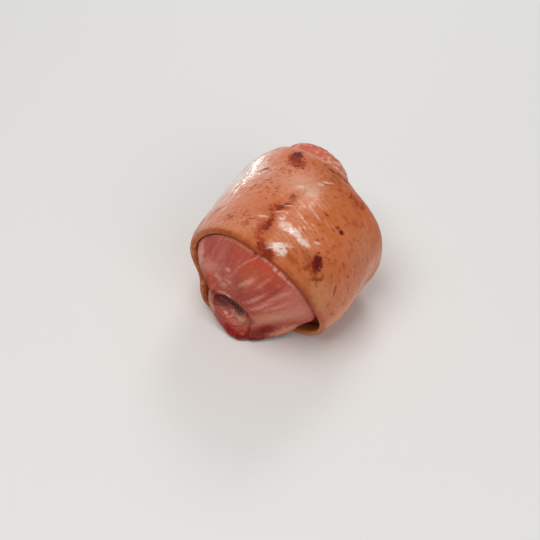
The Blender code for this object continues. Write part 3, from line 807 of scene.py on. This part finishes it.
def buildMeat():
    # one closed grid: face, side under the rind, narrow end, and back along the bone in a tunnel
    phi = np.linspace(0, 2 * np.pi, meat["columns"], endpoint=False)[None, :]
    front, rear = frontEdge(phi), rearEdge(phi)
    faceShare = 1 - (1 - np.linspace(0, 1, meat["faceRows"])[:, None]) ** 1.15
    face = facePoints(phi, faceShare)
    rimAt, hidden = front + meat["rimTurn"] - lobe(phi), front + meat["sideEnd"]
    sideShare = np.linspace(0, 1, 16)[1:, None]
    side = meatSide(rimAt + (hidden - rimAt) * sideShare, phi, gapDepth(phi) + 0 * sideShare)
    inShare = np.linspace(0, 1, 10)[:, None]
    insideAlong = front + meat["insideStart"] + (rear - front - meat["insideShorter"]) * inShare
    inside = skin(insideAlong, phi, form["rindThickness"] - 0.8 + 0 * inShare)
    shank = shankPoints(phi, np.linspace(0, 1, meat["shankRows"])[:, None])
    turnRear, turnFront = anglesFrom(form["boneRear"], shank[-1]), anglesFrom(form["boneFront"], face[0])
    turnRear = turnRear + 2 * np.pi * np.round((turnFront - turnRear).mean() / (2 * np.pi))
    t = np.array([0.96, 0.88, 0.7, 0.5, 0.3, 0.12, 0.06])[:, None]
    tunnel = boneRing(t, turnFront + (turnRear - turnFront) * ramp(t), form["boneClearance"])
    points = np.concatenate([face, side, inside, shank, tunnel])
    rows = np.cumsum([len(face), len(side), len(inside), len(shank), len(tunnel)])
    row = np.arange(len(points))[:, None]
    onFace, onSide = row < rows[0], (row >= rows[0]) & (row < rows[1])
    onShank = (row >= rows[2]) & (row < rows[3])
    inFront = onFace | onSide
    buried = ~(inFront | onShank)

    x, z = points[..., 0], points[..., 2]
    broad, fine = mottle(points, 18.0, 51), mottle(points, 4.5, 61)
    edge = mottle(points, 3.0, 71)
    # fibres: waves stretched along the spokes of each muscle's fan
    across = seamDistance(x, z)
    leftMuscle = ramp(0.5 - across / 3.0)
    fibre, strand = 0.0, 0.0
    for (fanX, fanZ), share in zip(meat["fans"], (1 - leftMuscle, leftMuscle)):
        reach = np.hypot(x - fanX, z - fanZ)
        arc = np.arctan2(z - fanZ, x - fanX) * np.hypot(10.0 - fanX, 50.0 - fanZ)
        backward = points[..., 1] / meat["fibreDepth"]
        stretched = np.stack([arc / meat["fibreWidth"], reach / meat["fibreLength"], backward], -1)
        finer = waves(stretched * (2.1, 1.6, 1.0), 1.6, 82)
        fibre = fibre + share * (waves(stretched, 1.6, 81) + 0.6 * finer)
        strand = strand + share * waves(stretched * (0.35, 0.6, 1.0), 1.6, 83)

    tone = np.broadcast_to(linear("meatRed"), points.shape).copy()
    tone = lay(tone, "meatPink", 0.25 + 0.4 * broad)
    tone = lay(tone, "mauve", 0.75 * leftMuscle * ramp((z - 30.0) / 25.0) * inFront)
    tone = layPatches(tone, x, z, meat["patches"], 0.25 * broad + 0.4 * edge, inFront)
    fibreShare = (0.35 + 0.65 * leftMuscle) * ramp((z - 10.0) / 20.0) + 0.15 * onShank
    tone = lay(tone, "film", 0.14 * ramp(fibre * 0.7) * fibreShare)
    tone = lay(tone, "meatPale", 0.16 * ramp(strand * 0.9 - 0.3) * inFront * ramp((z - 10.0) / 20.0))
    tone = lay(tone, "blood", 0.10 * ramp(-fibre * 0.7) * fibreShare)
    onSeam = np.exp(-((across / 0.9) ** 2)) * ramp((z - 56.0) / 14.0) * onFace
    tone = lay(tone, "film", 0.45 * onSeam * ramp(0.6 + 0.5 * fine))
    # painted shade: dark red along the fold beside the bone's hollow, weaker lower down
    onFold = np.exp(-((pathDistance(x, z, meat["fold"]) / 1.5) ** 2)) * inFront
    tone = lay(tone, "blood", (0.5 + 0.4 * ramp((z - 8.0) / 10.0)) * onFold * ramp(0.8 + 0.5 * fine))
    onPaleEdge = np.exp(-((pathDistance(x, z, meat["paleEdge"]) / 1.1) ** 2)) * onFace
    tone = lay(tone, "film", 0.8 * onPaleEdge * ramp(0.8 + 0.4 * edge))

    # the pale fat along the rim, and painted shade: dark red and brown in the gap under the rind's edge,
    # less of it where the gap closes at the upper left and in the pocket at the lower right
    shareGrid = np.concatenate([faceShare, np.ones((len(points) - len(faceShare), 1))])
    rimBand = ramp((shareGrid - 0.957 + 0.010 * edge) / 0.024) * onFace + 1.0 * onSide
    tone = lay(tone, "fatAmber", 0.85 * rimBand * hump(phi, 100.0, 20.0) * ramp(0.7 + 0.4 * fine))
    tone = lay(tone, "film", 0.95 * rimBand * hump(phi, 58.0, 24.0) * ramp(0.65 + 0.5 * edge))
    # painted shade: a thin dark red line across the rim, under the rind's edge
    tone = lay(tone, "paintedGapShade", 0.8 * rimBand * hump(phi, 81.5, 2.2))
    inGap = ramp((points[..., 1] - frontEdge(phi) + 0.8) / 1.6)
    tone = lay(tone, "brown", 0.7 * inGap * onSide)
    gapShadeShare = 1 - 0.9 * hump(phi, 140.0, 50.0) - 0.7 * hump(phi, 322.0, 26.0)
    tone = lay(tone, "paintedGapShade", 0.97 * inGap * onSide * gapShadeShare)

    # the narrow end, with pale mottling on its right; what lies under the rind and round the bone gets
    # painted shade in dark red
    tone = lay(tone, "shankMeat", 0.8 * onShank)
    fromRight = np.abs((np.degrees(phi) - 14.0 + 180.0) % 360.0 - 180.0)
    pale = ramp((64.0 - fromRight + 14.0 * fine + 8.0 * broad) / 26.0)
    tone = lay(tone, "pink", 0.85 * onShank * pale)
    tone = lay(tone, "creamAndHighlight", 0.5 * onShank * pale * ramp(0.5 + 0.6 * fine))
    tone = lay(tone, "paintedGapShade", 1.0 * buried)

    relief = 0.05 * fibre * fibreShare + 0.2 * fine + 0.15 * strand * inFront
    relief = relief * ramp(shareGrid / 0.06) * (onFace | onSide | onShank) * (1 - 0.8 * inGap * onSide)
    blotchy = ellipseShare(x + 20, z - 48, 14, 12, 20, 4.0, 0.0) * onFace
    relief = relief + 0.35 * edge * blotchy
    points = points + normals(points) * relief[..., None]
    points[..., 2] = np.maximum(points[..., 2], 0.0)
    wet = 0.12 + 0.15 * broad + 0.3 * ellipseShare(x + 10, z - 2, 22, 12, 0, 4.0, 0.3 * edge) * inFront
    mesh = makeMesh("meat", points, True, {"tone": tone, "wet": wet[..., None]})
    placePiece("meat", mesh, meatFinish("cookedMeat", meat["look"]), "hock")
    print("meat built:", points.shape[0] * points.shape[1], "points")


# the bone: its cut front end lies in the face, with a dark hollow in its upper half
bone = {
    "columns": 144,
    "endRows": 30,
    "shaftRows": 14,
    "sunk": 0.3,
    "dish": 1.0,
    "rimGrowth": 2.4,
    "rearHollow": 1.6,
    "lean": (0.08, 0.11),  # the end leans: its lower left stands forward
    "hollow": (-15.5, 27.4, 9.5, 3.6, -29, 3.2),  # x, z, half width, half height, turn, depth
    # patches of the front end:
    # x, z, half width, half height, turn, tone, strength, crispness, edge roughness
    "patches": [
        (-18.5, 19.5, 7.5, 5.6, -40, "meatPink", 0.9, 3.5, 0.8),
        (-21.0, 17.0, 5.0, 2.0, -40, "meatRed", 0.7, 3.5, 0.8),
        (-11.0, 11.5, 7.0, 4.0, -38, "meatPink", 0.9, 3.5, 0.8),
        (-10.5, 12.5, 4.0, 2.0, -38, "meatPale", 0.7, 3.5, 0.8),
        (-18.0, 18.6, 2.6, 1.0, -60, "film", 0.8, 3.5, 0.8),
        (-21.5, 22.5, 1.3, 0.9, 0, "film", 0.6, 3.5, 0.8),
        (-14.0, 17.5, 1.6, 0.9, 50, "film", 0.6, 3.5, 0.8),
        (-7.1, 17.4, 3.6, 3.0, -50, "beige", 0.85, 3.5, 0.8),
        (-9.3, 23.2, 4.6, 3.8, -50, "boneGrey", 0.95, 3.5, 0.8),
        (-7.2, 24.6, 2.2, 0.7, -62, "marrow", 0.85, 4.0, 0.8),
        (-26.0, 30.5, 5.4, 4.6, -20, "blood", 0.95, 4.0, 0.6),
        (-14.0, 31.5, 9.0, 2.6, -32, "meatDeep", 0.9, 3.0, 0.8),
        (-15.5, 27.2, 9.5, 3.0, -29, "marrow", 0.95, 3.5, 0.8),
        (-21.0, 25.2, 3.6, 2.4, -20, "marrow", 0.6, 3.0, 0.8),
        (-12.0, 27.6, 2.6, 1.2, -30, "boneGrey", 0.5, 3.0, 0.8),
        (-12.6, 20.6, 2.4, 1.2, -50, "film", 0.4, 3.0, 1.0),
    ],
    "look": {"speckleScale": 1100.0, "speckle": 0.14, "dryRoughness": 0.6, "wetRoughness": 0.25,
             "bumpScale": 900.0, "bump": 0.5, "bumpDepth": 0.4, "dryCoat": 0.0, "wetCoat": 0.5,
             "coatRoughness": 0.2, "specular": 0.12},
}


def buildBone():
    # rings from the middle of the front end out to its rim, along the shaft, and in again at the rear end;
    # the front rim grows unevenly by sines, and the hollow is a roughened ellipse pressed in
    angle = np.linspace(0, 2 * np.pi, bone["columns"], endpoint=False)[None, :]
    length = form["boneRear"][1] - form["boneFront"][1]
    inward = np.linspace(0.04, 1, bone["endRows"])[:, None]
    frontT = (bone["sunk"] + bone["dish"] * inward**6) / length
    shaftT = np.linspace(0.05, 0.95, bone["shaftRows"])[:, None]
    t = np.concatenate([frontT, shaftT, 1 - frontT[::-1]]) + 0 * angle
    share = np.concatenate([inward, np.ones_like(shaftT), inward[::-1]])
    atFrontEnd = ramp((0.04 - t) / 0.02)
    uneven = 1 + 0.3 * np.sin(3 * angle + 1.0) + 0.2 * np.sin(5 * angle + 2.0) + 0.15 * np.sin(9 * angle)
    ring = boneRing(t, angle, bone["rimGrowth"] * uneven * atFrontEnd)
    middle = form["boneFront"] + (form["boneRear"] - form["boneFront"]) * t[..., None]
    points = middle + (ring - middle) * share[..., None]
    atFront = points[..., 1] < 0
    x, z = points[..., 0], points[..., 2]
    fine, edge = mottle(points, 3.4, 91), mottle(points, 2.2, 95)
    holeX, holeZ, halfWidth, halfHeight, turn, deep = bone["hollow"]
    hole = ellipseShare(x - holeX, z - holeZ, halfWidth, halfHeight, turn, 4.0, 0.3 * edge)
    lean = bone["lean"][0] * (x - form["boneFront"][0]) + bone["lean"][1] * (z - form["boneFront"][2])
    points[..., 1] += np.minimum(lean, 0.0) * atFrontEnd
    pressed = deep * hole * ramp((1 - share) / 0.12) + 0.5 * fine * ramp((1 - share) / 0.3)
    points[..., 1] += pressed * atFront

    tone = np.broadcast_to(linear("boneGrey"), points.shape).copy()
    tone = lay(tone, "meatPink", 0.35 + 0.35 * fine)
    tone = layPatches(tone, x, z, bone["patches"], 0.5 * edge, atFront)
    marrow = ramp((0.66 - share + 0.10 * fine) / 0.34) * (1 - atFront)
    points[..., 1] -= bone["rearHollow"] * marrow
    tone = lay(tone, "beige", 0.6 * ramp(share / 0.7 + 0.2 * fine) * (1 - atFront))
    tone = lay(tone, "marrow", 0.85 * marrow)
    upperRight = hump(angle, 30.0, 60.0)
    tone = lay(tone, "meatPink", 0.8 * ramp((share - 0.9) / 0.08) * atFront * (1 - upperRight))
    tone = lay(tone, "blood", 0.7 * ramp((share - 0.94) / 0.06) * atFront * upperRight)
    wet = 0.5 + 0.3 * marrow
    mesh = makeMesh("bone", points, False, {"tone": tone, "wet": wet[..., None]})
    placePiece("shankBone", mesh, meatFinish("cookedBone", bone["look"]), "bone")
    print("bone built:", points.shape[0] * points.shape[1], "points")


# the studio: pale floor, soft lights and the camera
studio = {
    "floorHalf": 6.0,  # metres
    "floorTone": (0.80, 0.80, 0.79),
    "floorRoughness": 0.9,
    "worldStrength": 0.25,
    "target": (0.0, 0.0, 0.045),
    "lights": [  # name, azimuth, elevation, distance, width, height, power, colour
        ("topLight", -20.0, 68.0, 1.6, 1.1, 1.1, 14.0, (1.0, 0.98, 0.95)),
        ("windowLight", -171.0, 42.0, 1.2, 0.42, 0.36, 3.0, (1.0, 1.0, 1.0)),
        ("flankLight", -142.0, 2.0, 1.2, 0.9, 0.10, 2.2, (1.0, 1.0, 1.0)),
        ("frontLight", 50.0, 33.0, 1.8, 1.2, 0.9, 8.4, (1.0, 0.98, 0.96)),
    ],
    "lens": 93.33,
    "sensorWidth": 36.0,
    "cameraPlace": (0.3013, -0.6621, 0.6591),
    "cameraTurn": (24.0, 40.0),  # azimuth and elevation of the camera as seen from the hock
}


def outDirection(azimuth, elevation):
    # unit vector towards a place round the hock: azimuth 0 is in front of the cut face, 90 on its right
    a, e = np.radians(azimuth), np.radians(elevation)
    return Vector((np.sin(a) * np.cos(e), -np.cos(a) * np.cos(e), np.sin(e)))


def buildStudio():
    # one square of floor, an even sky, and each light at its distance from the target, turned towards it
    half = studio["floorHalf"]
    corners = [(-half, -half, 0), (half, -half, 0), (half, half, 0), (-half, half, 0)]
    floorMesh = bpy.data.meshes.new("floor")
    floorMesh.from_pydata(corners, [], [(0, 1, 2, 3)])
    floor = bpy.data.objects.new("floor", floorMesh)
    bpy.context.scene.collection.objects.link(floor)
    paper = bpy.data.materials.new("palePaper")
    paper.use_nodes = True
    shader = paper.node_tree.nodes["Principled BSDF"]
    shader.inputs["Base Color"].default_value = (*studio["floorTone"], 1.0)
    shader.inputs["Roughness"].default_value = studio["floorRoughness"]
    floorMesh.materials.append(paper)
    world = bpy.data.worlds.new("softSky")
    world.use_nodes = True
    background = world.node_tree.nodes["Background"]
    background.inputs["Color"].default_value = (1.0, 1.0, 1.0, 1.0)
    background.inputs["Strength"].default_value = studio["worldStrength"]
    bpy.context.scene.world = world
    target = Vector(studio["target"])
    for name, azimuth, elevation, distance, width, height, power, color in studio["lights"]:
        light = bpy.data.lights.new(name, "AREA")
        light.shape = "RECTANGLE"
        light.size, light.size_y, light.energy, light.color = width, height, power, color
        lamp = bpy.data.objects.new(name, light)
        direction = outDirection(azimuth, elevation)
        lamp.location = target + direction * distance
        lamp.rotation_mode = "QUATERNION"
        lamp.rotation_quaternion = (-direction).to_track_quat("-Z", "Y")
        bpy.context.scene.collection.objects.link(lamp)
    cameraData = bpy.data.cameras.new("photoCamera")
    cameraData.lens = studio["lens"]
    cameraData.sensor_width = studio["sensorWidth"]
    camera = bpy.data.objects.new("photoCamera", cameraData)
    camera.location = Vector(studio["cameraPlace"]) - Vector(form["middle"]) / 1000
    camera.rotation_mode = "QUATERNION"
    camera.rotation_quaternion = (-outDirection(*studio["cameraTurn"])).to_track_quat("-Z", "Y")
    bpy.context.scene.collection.objects.link(camera)
    bpy.context.scene.camera = camera
    bpy.context.scene.view_settings.view_transform = "Standard"
    print("studio built")


buildRind()
buildMeat()
buildBone()
buildStudio()
bpy.context.view_layer.update()
